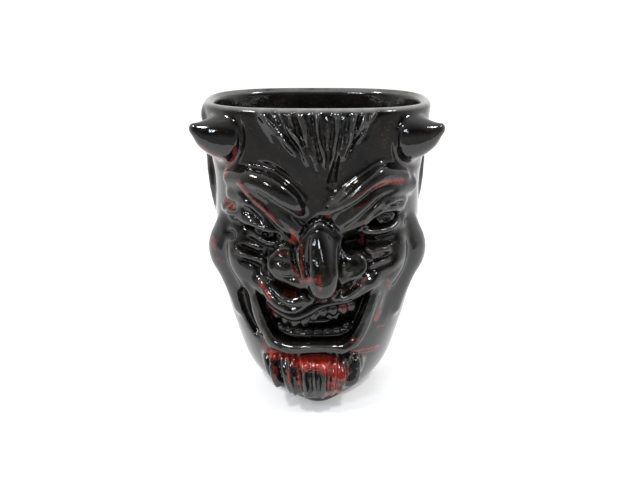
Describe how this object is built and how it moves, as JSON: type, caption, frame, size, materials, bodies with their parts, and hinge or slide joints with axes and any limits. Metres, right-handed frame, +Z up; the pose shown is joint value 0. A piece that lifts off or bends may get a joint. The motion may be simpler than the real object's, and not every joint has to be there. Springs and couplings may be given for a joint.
{
  "type": "ceramic tiki mug",
  "caption": "Hollow ceramic drinking mug modelled as a horned, goateed devil's head with one eye squinting, standing on a flat foot.",
  "frame": {"origin": "middle of the flat foot, under the centre of the rim", "axes": "+Z up towards the rim; the face looks along -Y; +X is the viewer's right when facing it"},
  "size_m": [0.1016, 0.092, 0.127],
  "materials": {
    "body_glaze": "glossy black glaze",
    "black_glaze": "glossy black glaze with faint red marbling",
    "red_glaze": "glossy red glaze broken with black"
  },
  "bodies": {
    "root": {"goatee": "red_glaze", "hair_peak": "black_glaze", "left_brow": "black_glaze", "left_cheek": "black_glaze", "left_ear": "black_glaze", "left_eyeball": "black_glaze", "left_horn": "black_glaze", "left_lower_eyelid": "black_glaze", "left_nostril": "black_glaze", "left_upper_eyelid": "black_glaze", "lower_lip": "black_glaze", "lower_teeth": "black_glaze", "mug_body": "body_glaze", "nose": "black_glaze", "right_brow": "black_glaze", "right_cheek": "black_glaze", "right_ear": "black_glaze", "right_eyeball": "black_glaze", "right_horn": "black_glaze", "right_lower_eyelid": "black_glaze", "right_nostril": "black_glaze", "right_upper_eyelid": "black_glaze", "tongue": "black_glaze", "upper_lip": "black_glaze", "upper_teeth": "black_glaze"}
  },
  "joints": []
}
